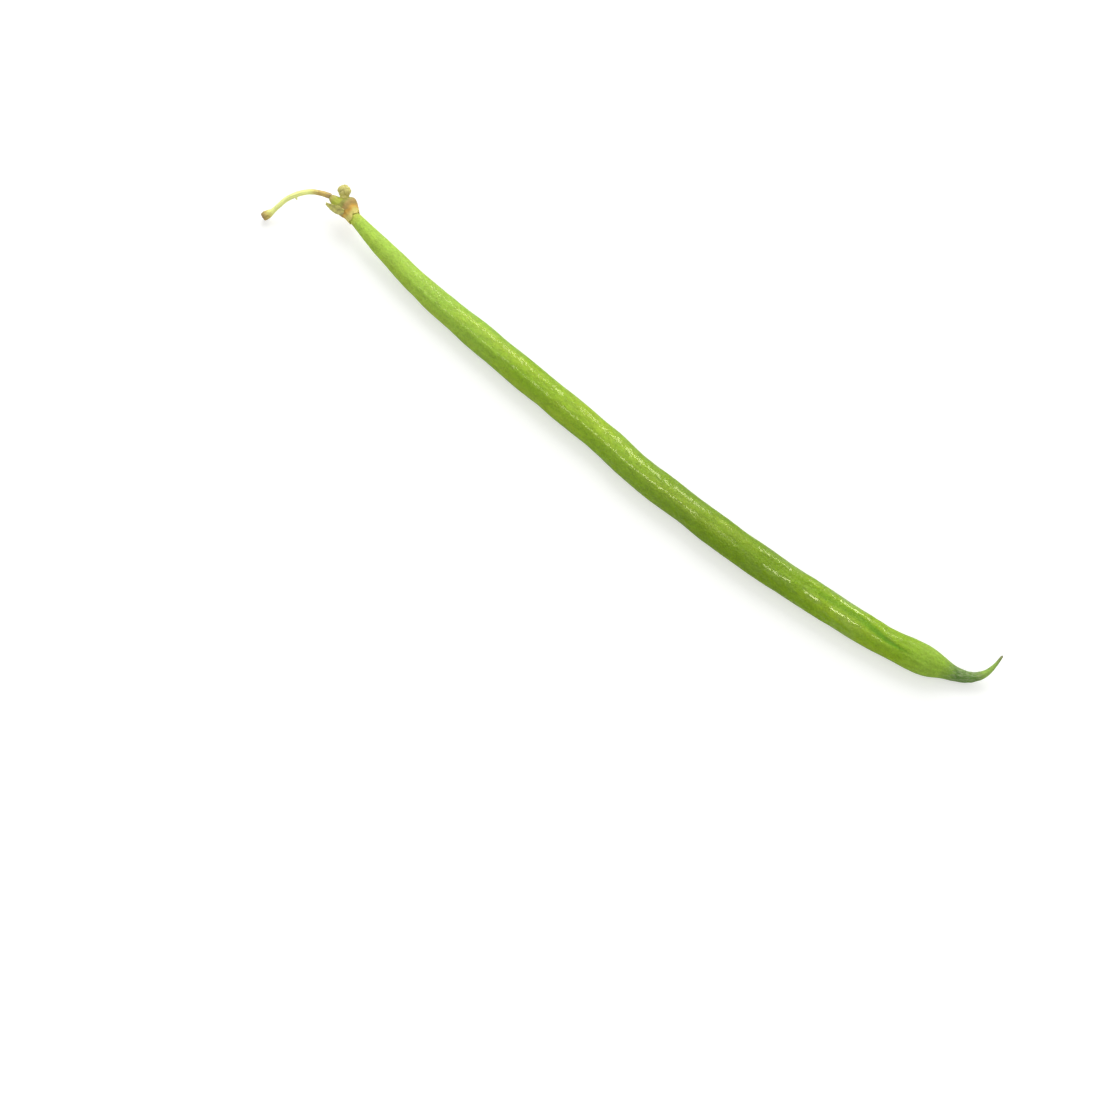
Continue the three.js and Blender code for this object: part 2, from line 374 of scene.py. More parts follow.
def put_in_order(piece):
    """In edit mode, sorts a cage's parts by place, because extrude orders its faces anew each run."""
    def places(part):
        return sorted(tuple(vertex.co) for vertex in getattr(part, "verts", (part,)))

    cage = bmesh.from_edit_mesh(piece.data)
    for parts in (cage.verts, cage.edges, cage.faces):
        ranks = {part: rank for rank, part in enumerate(sorted(parts, key=places))}
        parts.sort(key=ranks.get)
    bmesh.update_edit_mesh(piece.data)


def draw_out(name, rings, sides):
    """A round blank along +X, drawn out from a disc ring by ring.

    Each ring is (distance, half width, half depth, sideways, upwards): its place along X, its size
    across Y and Z, and how far its centre is off the axis. The cage is made slightly wider than
    asked, because subdivision pulls it in.
    """
    reach = 6 / (4 + 2 * math.cos(2 * math.pi / sides))
    distance, width, depth, sideways, upwards = rings[0]
    deselect_all()
    bpy.ops.mesh.primitive_circle_add(
        vertices=sides, radius=reach * width, fill_type="NGON",
        location=(distance, sideways, upwards), rotation=(0, math.radians(90), 0))
    piece = bpy.context.object
    piece.name = name
    bpy.ops.object.transform_apply(location=True, rotation=True, scale=True)
    bpy.ops.object.mode_set(mode="EDIT")
    bpy.ops.mesh.select_all(action="SELECT")
    centre = (distance, sideways, upwards)
    bpy.ops.transform.resize(value=(1, 1, depth / width), center_override=centre)
    for ring in rings[1:]:
        move = (ring[0] - distance, ring[3] - sideways, ring[4] - upwards)
        scale = (1, ring[1] / width, ring[2] / depth)
        distance, width, depth, sideways, upwards = ring
        centre = (distance, sideways, upwards)
        bpy.ops.mesh.extrude_region_move(TRANSFORM_OT_translate={"value": move})
        bpy.ops.transform.resize(value=scale, center_override=centre)
    bpy.ops.mesh.select_all(action="SELECT")
    bpy.ops.mesh.normals_make_consistent(inside=False)
    put_in_order(piece)
    bpy.ops.object.mode_set(mode="OBJECT")
    return piece


def apply_modifier(piece, kind, **settings):
    """Adds a modifier and applies it."""
    modifier = piece.modifiers.new(kind.lower(), kind)
    for setting, value in settings.items():
        setattr(modifier, setting, value)
    bpy.ops.object.modifier_apply(modifier=modifier.name)


def model_relief(piece, relief):
    """Rounds a blank off, and moves each vertex along its normal by relief(distance, angle, radius).

    Lengths are in mm, and the angle goes from the top towards -Y. Each vertex keeps two attributes
    for the materials: its place in the straight blank, and the height it was moved by.
    """
    apply_modifier(piece, "SUBSURF", levels=2, render_levels=2)
    places = [0.0] * (3 * len(piece.data.vertices))
    piece.data.vertices.foreach_get("co", places)
    straight = piece.data.attributes.new("straight", "FLOAT_VECTOR", "POINT")
    straight.data.foreach_set("vector", places)
    heights = []
    moved = []
    for vertex in piece.data.vertices:
        x, y, z = vertex.co / MM
        height = relief(x, math.atan2(-y, z), math.hypot(y, z))
        heights.append(height)
        moved.extend(vertex.co + vertex.normal * height * MM)
    piece.data.vertices.foreach_set("co", moved)
    kept = piece.data.attributes.new("relief", "FLOAT", "POINT")
    kept.data.foreach_set("value", heights)
    piece.data.update()


def unevenness(piece, width, height):
    """Displaces the surface by smooth clouds of a width, up and down by half a height."""
    clouds = bpy.data.textures.new("clouds", "CLOUDS")
    clouds.noise_scale = width
    clouds.noise_depth = 1
    apply_modifier(piece, "DISPLACE", texture=clouds, texture_coords="LOCAL", strength=height)
    bpy.data.textures.remove(clouds)


def make_route(name, points):
    """A smooth curve through a list of points in mm, and its length in mm."""
    data = bpy.data.curves.new(name, "CURVE")
    data.dimensions = "3D"
    data.twist_mode = "Z_UP"
    data.resolution_u = 32
    data.use_deform_bounds = False
    spline = data.splines.new("BEZIER")
    spline.bezier_points.add(len(points) - 1)
    for knot, point in zip(spline.bezier_points, points):
        knot.co = Vector(point) * MM
        knot.handle_left_type = "AUTO"
        knot.handle_right_type = "AUTO"
    route = bpy.data.objects.new(name, data)
    bpy.context.scene.collection.objects.link(route)
    bpy.context.view_layer.update()
    return route, spline.calc_length() / MM


def bend_along(piece, route, roll=0.0):
    """Turns a straight blank about its own axis, bends it along a route, and removes the route."""
    piece.rotation_euler = (roll, 0, 0)
    bpy.ops.object.transform_apply(location=True, rotation=True, scale=True)
    apply_modifier(piece, "CURVE", object=route, deform_axis="POS_X")
    data = route.data
    bpy.data.objects.remove(route)
    bpy.data.curves.remove(data)


def settle_on_surface(piece):
    """Presses what lies under the surface flat against it."""
    bpy.ops.object.mode_set(mode="EDIT")
    select_vertices(piece, lambda place: place.z < 0)
    bpy.ops.transform.resize(value=(1, 1, 0), center_override=(0, 0, 0))
    bpy.ops.object.mode_set(mode="OBJECT")


def hand_over(piece, material, node):
    """Checks that a piece is where its node is, finishes it, and lets it stand for the node."""
    tolerance = BOX_TOLERANCE * MM
    cad_low, cad_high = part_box(node)
    places = [vertex.co for vertex in piece.data.vertices]
    for axis in range(3):
        low = min(place[axis] for place in places)
        high = max(place[axis] for place in places)
        if abs(low - cad_low[axis]) > tolerance or abs(high - cad_high[axis]) > tolerance:
            raise RuntimeError(f"{piece.name} isn't where {node} is, along axis {axis}")
    deselect_all()
    piece.select_set(True)
    bpy.context.view_layer.objects.active = piece
    bpy.ops.object.shade_smooth()
    piece.data.materials.clear()
    piece.data.materials.append(material)
    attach(piece, "root")
    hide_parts(node)


# ---- Materials ----

# Numbered inputs: in a Map Range node 0 is the value, 1 to 2 the range that it comes in, and 3 to 4
# the range that it goes out in, 0 to 1 where they aren't given. In a Mix node of colours 0 is the
# share, and 6 and 7 are the colours.

def new_material(name):
    """An empty node material."""
    material = bpy.data.materials.new(name)
    material.use_nodes = True
    material.node_tree.nodes.clear()
    return material


def add_node(material, kind, inputs=None, stops=(), **settings):
    """Adds a node with its settings, and gives its inputs values, other nodes' outputs or nodes.

    A node given as an input stands for the first of its outputs that is enabled. The stops are those
    of a colour ramp.
    """
    tree = material.node_tree
    node = tree.nodes.new("ShaderNode" + kind)
    for name, value in settings.items():
        setattr(node, name, value)
    for name, value in (inputs or {}).items():
        if isinstance(value, bpy.types.Node):
            value = next(output for output in value.outputs if output.enabled)
        if isinstance(value, bpy.types.NodeSocket):
            tree.links.new(value, node.inputs[name])
        else:
            node.inputs[name].default_value = value
    if stops:
        elements = node.color_ramp.elements
        while len(elements) < len(stops):
            elements.new(1)
        for element, (position, colour) in zip(elements, stops):
            element.position = position
            element.color = colour
    return node


def greys(*pairs):
    """The stops of a ramp of greys, from (position, grey) pairs."""
    return [(position, (grey, grey, grey, 1)) for position, grey in pairs]


def straight_place(material, stretch=1.0, turn=0.0):
    """The place in the straight blank, in metres, for a pattern drawn out along it and turned."""
    place = add_node(material, "Attribute", attribute_name="straight")
    return add_node(material, "Mapping",
                    {"Vector": place.outputs["Vector"], "Rotation": (0, 0, turn),
                     "Scale": (stretch, 1, 1)}, vector_type="TEXTURE")


def wandering_share(material, length, width, reach):
    """How far along the blank a point lies, as a share of a length, wandering to and fro.

    Patches of a width shift it within the reach, so that no band of colour ends in an even line.
    """
    place = straight_place(material)
    split = add_node(material, "SeparateXYZ", {0: place})
    mottle = add_node(material, "TexNoise", {"Vector": place, "Scale": 1 / width, "Detail": 3})
    shift = add_node(material, "Math", {0: mottle, 1: reach, 2: -reach / 2},
                     operation="MULTIPLY_ADD")
    distance = add_node(material, "Math", {0: split.outputs["X"], 1: shift}, operation="ADD")
    return add_node(material, "Math", {0: distance, 1: length}, operation="DIVIDE")


def skin_colour(material, settings, share, relief, ripeness, long_place):
    """The colour of the skin: along the pod, in its ripe patches, in its seam and on its beak."""
    lengthwise = add_node(material, "ValToRGB", {0: share}, stops=(
        # The neck and flank stops are paler and greyer, partly with painted sheen.
        (0.014, settings.sprout_colour), (0.028, settings.neck_and_sheen_colour),
        (0.25, settings.flank_and_sheen_colour), (0.31, settings.body_colour),
        # The middle stops are darker, partly with painted shade.
        (0.45, settings.body_colour), (0.57, settings.deep_and_shade_colour),
        (0.68, settings.deep_and_shade_colour), (0.8, settings.body_colour),
        (0.87, settings.body_colour), (0.9, settings.shoulder_colour),
        (0.918, settings.shoulder_colour), (0.938, settings.beak_colour),
        (0.958, settings.beak_colour), (0.97, settings.style_colour),
        (0.988, settings.style_colour), (1.0, settings.tip_colour)))
    ripe_share = add_node(material, "MapRange", {0: ripeness, 1: 0.45, 2: 0.75, 4: 0.5})
    ripened = add_node(material, "Mix", {0: ripe_share, 6: lengthwise, 7: settings.ripe_colour},
                       data_type="RGBA")

    # The valley along the seam is darker the deeper it sinks: partly its own deeper green and partly
    # painted shade.
    valley = add_node(material, "MapRange", {0: relief, 1: 0.02, 2: -0.14},
                      interpolation_type="SMOOTHSTEP")
    on_beak_half = add_node(material, "ValToRGB", {0: share}, stops=greys(
        (0.74, 0), (0.77, 0.4), (0.81, 0.5), (0.84, 0.9), (0.862, 0.9), (0.88, 0.6), (0.93, 0)))
    valley_shade_share = add_node(material, "Math", {0: valley, 1: on_beak_half}, operation="MULTIPLY")
    seamed = add_node(material, "Mix", {0: valley_shade_share, 6: ripened, 7: settings.groove_and_shade_colour},
                      data_type="RGBA")

    # The root of the beak has pale dry streaks, 0.2 mm wide.
    streaks = add_node(material, "TexNoise",
                       {"Vector": long_place, "Scale": 1 / (0.22 * MM), "Detail": 2})
    streaked = add_node(material, "MapRange", {0: streaks, 1: 0.46, 2: 0.6})
    on_beak = add_node(material, "ValToRGB", {0: share},
                       stops=greys((0.915, 0), (0.94, 0.5), (0.962, 0.6), (0.972, 0)))
    streak_share = add_node(material, "Math", {0: streaked, 1: on_beak}, operation="MULTIPLY")
    return add_node(material, "Mix", {0: streak_share, 6: seamed, 7: settings.streak_colour},
                    data_type="RGBA")


def water_film(material, settings, share, relief):
    """The film of water on the body: how much of it there is at a place, and its bumps.

    The bumps are really 0.1 mm wide, and are drawn coarser to show.
    """
    place = straight_place(material, 4, math.radians(-20))
    bumps = add_node(material, "TexNoise",
                     {"Vector": place, "Scale": 1 / settings.film_grain, "Detail": 1})
    film_bump = add_node(material, "Bump",
                         {"Height": bumps, "Strength": 1.0, "Distance": 0.1 * MM})

    # The film lies in small patches, with more of them in pools and on the ridges by the seam.
    patches = add_node(material, "TexNoise",
                       {"Vector": place, "Scale": 1 / (0.9 * MM), "Detail": 2})
    pools = add_node(material, "TexNoise", {"Vector": place, "Scale": 1 / (2.4 * MM), "Detail": 0})
    pool_depth = add_node(material, "MapRange", {0: pools, 1: 0.3, 2: 0.7, 3: -0.1, 4: 0.06})
    ridge_depth = add_node(material, "MapRange", {0: relief, 1: -0.08, 2: 0.07, 3: -0.14, 4: 0.3})
    patch_depth = add_node(material, "Math", {0: patches, 1: pool_depth}, operation="ADD")
    depth = add_node(material, "Math", {0: patch_depth, 1: ridge_depth}, operation="ADD")
    film = add_node(material, "MapRange", {0: depth, 1: 0.55, 2: 0.65},
                    interpolation_type="SMOOTHSTEP")

    # There's most of it before the beak, and none on the neck or on the beak.
    on_body = add_node(material, "ValToRGB", {0: share}, stops=greys(
        (0.1, 0), (0.15, 0.2), (0.33, 0.28), (0.44, 0.28), (0.46, 0.48), (0.585, 0.42),
        (0.605, 0.12), (0.65, 0.14), (0.69, 0.55), (0.74, 0.55), (0.76, 1), (0.805, 1),
        (0.825, 0.4), (0.865, 0.25), (0.89, 0)))
    wetness = add_node(material, "Math", {0: film, 1: on_body}, operation="MULTIPLY")
    return wetness, film_bump


def bean_cuticle(settings, length):
    """Cuticle of a fresh bean pod, grown and wet.

    A thin waxy skin over wet flesh: a satin sheen, small wet glints from the bumps of the film that
    lies on it, and a little light that comes back out of the flesh.
    """
    material = new_material("bean_cuticle")
    place = straight_place(material)
    long_place = straight_place(material, 6)
    fibre_place = straight_place(material, 2.5)
    split = add_node(material, "SeparateXYZ", {0: place})
    share = add_node(material, "Math", {0: split.outputs["X"], 1: length * MM},
                     operation="DIVIDE")
    relief = add_node(material, "Attribute", attribute_name="relief").outputs["Fac"]

    # The skin is riper in patches, 3.5 mm wide and 20 mm long.
    ripeness = add_node(material, "TexNoise",
                        {"Vector": long_place, "Scale": 1 / (3.5 * MM), "Detail": 3})
    colour = skin_colour(material, settings, share, relief, ripeness, long_place)

    # Pores, and fibres twice as wide, lighten and darken it a little.
    pores = add_node(material, "TexNoise",
                     {"Vector": place, "Scale": 1 / settings.grain, "Detail": 2})
    fibres = add_node(material, "TexNoise",
                      {"Vector": fibre_place, "Scale": 0.5 / settings.grain, "Detail": 2})
    flecks = add_node(material, "Math", {0: pores, 1: fibres}, operation="ADD")
    fleck_value = add_node(material, "MapRange", {0: flecks, 1: 0.7, 2: 1.3, 3: 0.85, 4: 1.16})
    skin = add_node(material, "HueSaturation", {"Value": fleck_value, "Color": colour})
    skin_bump = add_node(material, "Bump",
                         {"Height": flecks, "Strength": 0.8, "Distance": 0.25 * MM})

    wetness, film_bump = water_film(material, settings, share, relief)
    roughness = add_node(material, "MapRange", {0: ripeness, 1: 0.3, 2: 0.7, 3: 0.36, 4: 0.5})
    shader = add_node(
        material, "BsdfPrincipled",
        {"Base Color": skin, "Roughness": roughness, "IOR": 1.45, "Specular IOR Level": 0.15,
         "Subsurface Weight": 0.15, "Subsurface Radius": (0.6, 1.0, 0.2),
         "Subsurface Scale": 1.0 * MM, "Coat Weight": wetness, "Coat Roughness": 0.1,
         "Coat IOR": 1.33, "Normal": skin_bump, "Coat Normal": film_bump})
    add_node(material, "OutputMaterial", {"Surface": shader})
    return material


def dried_calyx(settings):
    """Calyx tissue that dries from its rim: fleshy and green by the stalk, papery and tan at the rim.

    It gives a dull surface with long ribs, brown stains and a paler edge.
    """
    material = new_material("dried_calyx")
    share = wandering_share(material, CALYX_LENGTH * MM, 1.1 * MM, 1.4 * MM)
    lengthwise = add_node(material, "ValToRGB", {0: share}, stops=(
        (0.1, settings.joint_colour), (0.19, settings.receptacle_colour),
        (0.33, settings.receptacle_colour), (0.4, settings.olive_colour),
        (0.52, settings.olive_colour), (0.6, settings.collar_colour),
        (0.69, settings.collar_colour), (0.77, settings.band_colour),
        (0.86, settings.rim_colour)))

    # The ribs are 0.5 mm apart, and are stained where the tissue is dry.
    ribs = add_node(material, "TexNoise", {"Vector": straight_place(material, 4),
                                           "Scale": 1 / (0.5 * MM), "Detail": 3})
    rib_share = add_node(material, "MapRange", {0: ribs, 1: 0.48, 2: 0.7, 4: 0.5})
    dry_share = add_node(material, "ValToRGB", {0: share},
                         stops=greys((0.35, 0.15), (0.5, 1), (0.75, 1), (0.86, 0.3)))
    stain_share = add_node(material, "Math", {0: rib_share, 1: dry_share}, operation="MULTIPLY")
    tissue = add_node(material, "Mix", {0: stain_share, 6: lengthwise, 7: settings.stain_colour},
                      data_type="RGBA")
    bump = add_node(material, "Bump", {"Height": ribs, "Strength": 0.6, "Distance": 0.15 * MM})
    shader = add_node(
        material, "BsdfPrincipled",
        {"Base Color": tissue, "Roughness": 0.6, "IOR": 1.45, "Subsurface Weight": 0.15,
         "Subsurface Radius": (1.0, 0.6, 0.2), "Subsurface Scale": 0.6 * MM, "Normal": bump})
    add_node(material, "OutputMaterial", {"Surface": shader})
    return material


def stalk_tissue(settings, length):
    """A young bean stalk, fleshy and slightly translucent, browned where it was joined and picked."""
    material = new_material("stalk_tissue")
    share = wandering_share(material, length * MM, 0.8 * MM, 1.6 * MM)
    lengthwise = add_node(material, "ValToRGB", {0: share}, stops=(
        (0.012, settings.node_colour), (0.06, settings.root_colour),
        (0.16, settings.root_colour), (0.29, settings.middle_colour),
        (0.85, settings.middle_colour), (0.92, settings.swelling_colour),
        (1.0, settings.scar_colour)))

    # Fibres, 0.2 mm wide, run along it.
    fibres = add_node(material, "TexNoise", {"Vector": straight_place(material, 7),
                                             "Scale": 1 / (0.22 * MM), "Detail": 2})
    fibre_value = add_node(material, "MapRange", {0: fibres, 1: 0.35, 2: 0.65, 3: 0.9, 4: 1.14})
    tissue = add_node(material, "HueSaturation", {"Value": fibre_value, "Color": lengthwise})
    bump = add_node(material, "Bump", {"Height": fibres, "Strength": 0.5, "Distance": 0.06 * MM})
    shader = add_node(
        material, "BsdfPrincipled",
        {"Base Color": tissue, "Roughness": 0.5, "IOR": 1.45, "Subsurface Weight": 0.4,
         "Subsurface Radius": (1.0, 1.0, 0.5), "Subsurface Scale": 1.0 * MM, "Normal": bump})
    add_node(material, "OutputMaterial", {"Surface": shader})
    return material


def withering_leaf(name, fresh_colour, shade_and_vein_colour, depth):
    """A small leaf that is withering: soft and dull, darker in its folds with painted shade, and dry
    along its veins.
    """
    material = new_material(name)
    relief = add_node(material, "Attribute", attribute_name="relief").outputs["Fac"]
    # Painted shade: the leaf takes the darker colour where its surface sinks.
    fold_shade_share = add_node(material, "MapRange", {0: relief, 1: 0.0, 2: -depth / MM})
    # The veins are 0.35 mm apart.
    veins = add_node(material, "TexNoise", {"Vector": straight_place(material, 2.5),
                                            "Scale": 1 / (0.35 * MM), "Detail": 3})
    vein_share = add_node(material, "MapRange", {0: veins, 1: 0.45, 2: 0.8, 4: 0.7})
    dry_share = add_node(material, "Math", {0: fold_shade_share, 1: vein_share}, operation="ADD",
                         use_clamp=True)
    tissue = add_node(material, "Mix", {0: dry_share, 6: fresh_colour, 7: shade_and_vein_colour},
                      data_type="RGBA")
    bump = add_node(material, "Bump", {"Height": veins, "Strength": 0.5, "Distance": 0.1 * MM})
    shader = add_node(
        material, "BsdfPrincipled",
        {"Base Color": tissue, "Roughness": 0.6, "IOR": 1.45, "Subsurface Weight": 0.15,
         "Subsurface Radius": (0.8, 1.0, 0.3), "Subsurface Scale": 0.5 * MM, "Normal": bump})
    add_node(material, "OutputMaterial", {"Surface": shader})
    return material


def white_board():
    """Matt white board that is lit to white, and keeps the shadow of what lies on it."""
    material = new_material("white_board")
    rays = add_node(material, "LightPath")
    board = add_node(material, "BsdfDiffuse", {"Color": hex_to_linear(0xDDDDDD)})
    shown = add_node(material, "BsdfDiffuse", {"Color": hex_to_linear(0xCBCDCE)})
    # Far from the bean the lamp lights it less, so it's lifted more there and stays white.
    place = add_node(material, "TexCoord")
    away = add_node(material, "VectorMath", {0: place.outputs["Object"]}, operation="LENGTH")
    strength = add_node(material, "MapRange", {0: away, 1: 0.2, 2: 1.0, 3: 0.53, 4: 0.7})
    lift = add_node(material, "Emission", {"Color": hex_to_linear(0xFFFEFA), "Strength": strength})
    lifted = add_node(material, "AddShader", {0: shown, 1: lift})
    mixed = add_node(material, "MixShader",
                     {0: rays.outputs["Is Camera Ray"], 1: board, 2: lifted})
    add_node(material, "OutputMaterial", {"Surface": mixed})
    return material


# ---- Pieces ----

def seed_wave(distance):
    """1 over a seed and -1 between two, fading to 0 past the first and the last."""
    seeded = (SEED_FIRST - SEED_PITCH, SEED_FIRST, SEED_LAST, SEED_LAST + SEED_PITCH)
    return within(distance, seeded) * math.cos((distance - SEED_FIRST) / SEED_PITCH * 2 * math.pi)


def pod_rings(length, swell):
    """The rings of the pod, closer together at the neck and the beak."""
    radius_at = smooth_reader(POD_OUTLINE)
    distances = even_steps(0, NECK_END, NECK_STEP)
    distances += even_steps(NECK_END, BEAK_START, SEED_PITCH / 6)[1:]
    distances += even_steps(BEAK_START, length, BEAK_STEP)[1:]
    rings = []
    for distance in distances:
        radius = radius_at(distance)
        wave = swell * seed_wave(distance)
        width = radius * (0.985 + wave) * MM
        depth = radius * (1.0 + 0.3 * wave) * MM
        dent = DENT_DEPTH / 2 * hump(distance, DENT_PLACE, DENT_WIDTH) * MM
        rings.append((distance * MM, width - dent, depth, -dent, 0))
    return rings


def pod_relief(settings):
    """The seam on top and the one underneath, and the folds and creases at the root of the beak.

    The seam stands up as a keel on the neck half. On the beak half it's a valley between two ridges,
    which close in on each other towards the beak.
    """
    seam_at = smooth_reader(SEAM_LINE)
    keel = settings.keel / MM
    groove = settings.groove / MM
    wrinkle = settings.wrinkle / MM

    def relief(distance, angle, radius):
        across = angle * radius - seam_at(distance)
        crest = math.exp(0.5 - math.hypot(across / KEEL_WIDTH, 0.5))
        height = keel * within(distance, KEEL_STRETCH) * crest

        closing = smoothstep(distance, *RIDGES_CLOSE)
        spread = RIDGE_SPREAD - (RIDGE_SPREAD - RIDGE_SPREAD_BY_BEAK) * closing
        shallow = 1 - 0.7 * smoothstep(distance, *GROOVE_SHALLOWS)
        depth = groove * within(distance, GROOVE_STRETCH) * shallow
        height -= depth * hump(across, 0, 0.62 * spread)
        height += 0.35 * depth * hump(abs(across), spread, 0.7 * spread)

        underside = (math.pi - abs(angle)) * radius
        before_beak = 1 - smoothstep(distance, BEAK_START, BEAK_START + 6)
        height += UNDER_SEAM_HEIGHT * hump(underside, 0, UNDER_SEAM_WIDTH) * before_beak

        on_root = within(distance, BEAK_FOLD_STRETCH)
        wander = 0.5 * noise.noise(Vector((distance * 0.35, 0, 0)))
        folds = math.cos(9 * angle + 5 * wander) + 0.6 * math.cos(5 * angle - 7 * wander + 1)
        height += 0.5 * wrinkle * on_root * (folds - 0.7) * min(radius / 1.5, 1)
        creases = sum(share * hump(distance, place, width) for place, width, share in BEAK_CREASES)
        height -= 1.3 * wrinkle * creases * (0.5 + 0.5 * math.cos(angle - 0.4))
        return height
    return relief


class BEAN_OT_pod(bpy.types.Operator):
    """Builds the pod, from its neck to the tip of its beak"""
    bl_idname = "bean.pod"
    bl_label = "Pod"

    def execute(self, context):
        settings = context.scene.bean_pod
        route, length = make_route("pod_route", POD_ROUTE)
        pod = draw_out("pod_skin", pod_rings(length, settings.seed_swell), POD_SIDES)
        model_relief(pod, pod_relief(settings))
        for width, height in POD_UNEVENNESS:
            unevenness(pod, width * MM, height * MM)
        bend_along(pod, route, settings.seam_angle)
        settle_on_surface(pod)
        hand_over(pod, bean_cuticle(settings, length), "pod")
        return {"FINISHED"}


def calyx_rings(settings):
    """The rings of the calyx, with the collar's set off to the side of the bulge."""
    rings = []
    for distance, radius in CALYX_OUTLINE:
        shift = settings.bulge * within(distance, COLLAR_STRETCH) * radius * MM
        sideways = -shift * math.sin(settings.bulge_angle)
        upwards = shift * math.cos(settings.bulge_angle)
        rings.append((distance * MM, radius * MM, radius * MM, sideways, upwards))
    return rings


def shape_rim(calyx, settings):
    """Draws the rim out into lobes, one vertex of the rim at a time, and slants it."""
    per_lobe = CALYX_SIDES // len(CALYX_LOBES)
    bpy.ops.object.mode_set(mode="EDIT")
    for index in range(CALYX_SIDES):
        angle = FIRST_LOBE + 2 * math.pi * index / CALYX_SIDES
        lobe = CALYX_LOBES[(index + per_lobe // 2) // per_lobe % len(CALYX_LOBES)]
        offset = abs((index + per_lobe // 2) % per_lobe - per_lobe // 2)
        slant = -settings.rim_slant * math.cos(angle - settings.bulge_angle)

        def on_this_line(place, angle=angle):
            turn = math.atan2(-place.y, place.z) - angle
            near = abs(math.remainder(turn, 2 * math.pi)) < math.pi / CALYX_SIDES
            return near and place.x > RIM_START * MM

        select_vertices(calyx, on_this_line)
        bpy.ops.transform.translate(value=(slant + LOBE_PULL[offset] * lobe * MM, 0, 0))
    bpy.ops.object.mode_set(mode="OBJECT")


def calyx_relief(settings):
    """Ribs and creases of the dry collar."""
    def relief(distance, angle, radius):
        collar = smoothstep(distance, *RIBS_RISE) * (1 - 0.7 * smoothstep(distance, *RIBS_SINK))
        wander = noise.noise(Vector((distance * 0.5, math.sin(angle), math.cos(angle))))
        ribs = math.cos(11 * angle + 3 * wander) + 0.7 * math.cos(7 * angle - 4 * wander)
        bumps = noise.noise(surface_point(distance * 0.9, angle, radius))
        return settings.rib / MM * (0.2 + 0.8 * collar) * ribs * 0.6 + (0.03 + 0.1 * collar) * bumps
    return relief


class BEAN_OT_calyx(bpy.types.Operator):
    """Builds the calyx, with its collar round the neck of the pod"""
    bl_idname = "bean.calyx"
    bl_label = "Calyx"

    def execute(self, context):
        settings = context.scene.bean_calyx
        route, _ = make_route("calyx_route", CALYX_ROUTE)
        calyx = draw_out("calyx_cup", calyx_rings(settings), CALYX_SIDES)
        shape_rim(calyx, settings)
        model_relief(calyx, calyx_relief(settings))
        bend_along(calyx, route)
        hand_over(calyx, dried_calyx(settings), "calyx")
        return {"FINISHED"}


def pedicel_rings(length):
    """The rings of the stalk, closer together at its swollen end."""
    radius_at = smooth_reader(PEDICEL_OUTLINE)
    distances = even_steps(PEDICEL_OUTLINE[0][0], SWELLING_START, STALK_STEP)
    distances += even_steps(SWELLING_START, length + PEDICEL_OVERRUN, SWELLING_STEP)[1:]
    return [(distance * MM, radius_at(distance) * MM, radius_at(distance) * MM, 0, 0)
            for distance in distances]


def pedicel_relief(settings):
    """Long furrows, and the rough skin of the swollen end."""
    def relief(distance, angle, radius):
        furrows = math.cos(5 * angle + 0.12 * distance)
        swollen = smoothstep(distance, *ROUGH_RISE)
        bumps = noise.noise(surface_point(distance, angle, radius) * 1.6)
        height = settings.flute / MM * furrows + (0.03 + 0.1 * swollen) * bumps
        turn = math.remainder(angle - HAIR_ANGLE, 2 * math.pi)
        stub = hump(distance, HAIR_PLACE, HAIR_WIDTHS[0]) * hump(turn * radius, 0, HAIR_WIDTHS[1])
        return height + settings.hair / MM * stub
    return relief


class BEAN_OT_pedicel(bpy.types.Operator):
    """Builds the stalk, with its swollen end where it was picked"""
    bl_idname = "bean.pedicel"
    bl_label = "Pedicel"

    def execute(self, context):
        settings = context.scene.bean_pedicel
        route, length = make_route("pedicel_route", PEDICEL_ROUTE)
        pedicel = draw_out("pedicel_stalk", pedicel_rings(length), PEDICEL_SIDES)
        model_relief(pedicel, pedicel_relief(settings))
        bend_along(pedicel, route)
        settle_on_surface(pedicel)
        hand_over(pedicel, stalk_tissue(settings, length), "pedicel")
        return {"FINISHED"}


def leaf_blade(name, outline, length, thickness):
    """A small pointed leaf along +X, made of a grid, hollow along its midrib and given thickness."""
    rows = 10
    columns = 6
    half_width_at = smooth_reader(outline)
    deselect_all()
    bpy.ops.mesh.primitive_grid_add(x_subdivisions=rows, y_subdivisions=columns, size=1)
    blade = bpy.context.object
    blade.name = name
    bpy.ops.object.mode_set(mode="EDIT")
    bpy.ops.mesh.select_all(action="SELECT")
    bpy.ops.transform.translate(value=(0.5, 0, 0))
    bpy.ops.transform.resize(value=(length * MM, 2 * MM, 1), center_override=(0, 0, 0))
    for row in range(rows + 1):
        distance = length * row / rows
        select_vertices(blade, lambda place: abs(place.x / MM - distance) < 0.01)
        bpy.ops.transform.resize(value=(1, half_width_at(distance), 1), center_override=(0, 0, 0))
    half = columns // 2
    for column in range(columns + 1):
        side = (column - half) / half
        share = abs(side)
        select_vertices(
            blade, lambda place: abs(place.y / MM / half_width_at(place.x / MM) - side) < 0.05)
        bpy.ops.transform.translate(
            value=(0, 0, (LEAF_TROUGH * share - LEAF_DROOP * share ** 3) * MM))
    bpy.ops.object.mode_set(mode="OBJECT")
    apply_modifier(blade, "SOLIDIFY", thickness=thickness, offset=0)
    return blade


def leaf_relief(distance, angle, radius):
    """The veins and small crinkles of the lower leaf."""
    point = Vector((distance * 0.8, radius * math.sin(angle) * 1.6, radius * math.cos(angle)))
    return 0.12 * noise.noise(point * 1.5) - 0.05


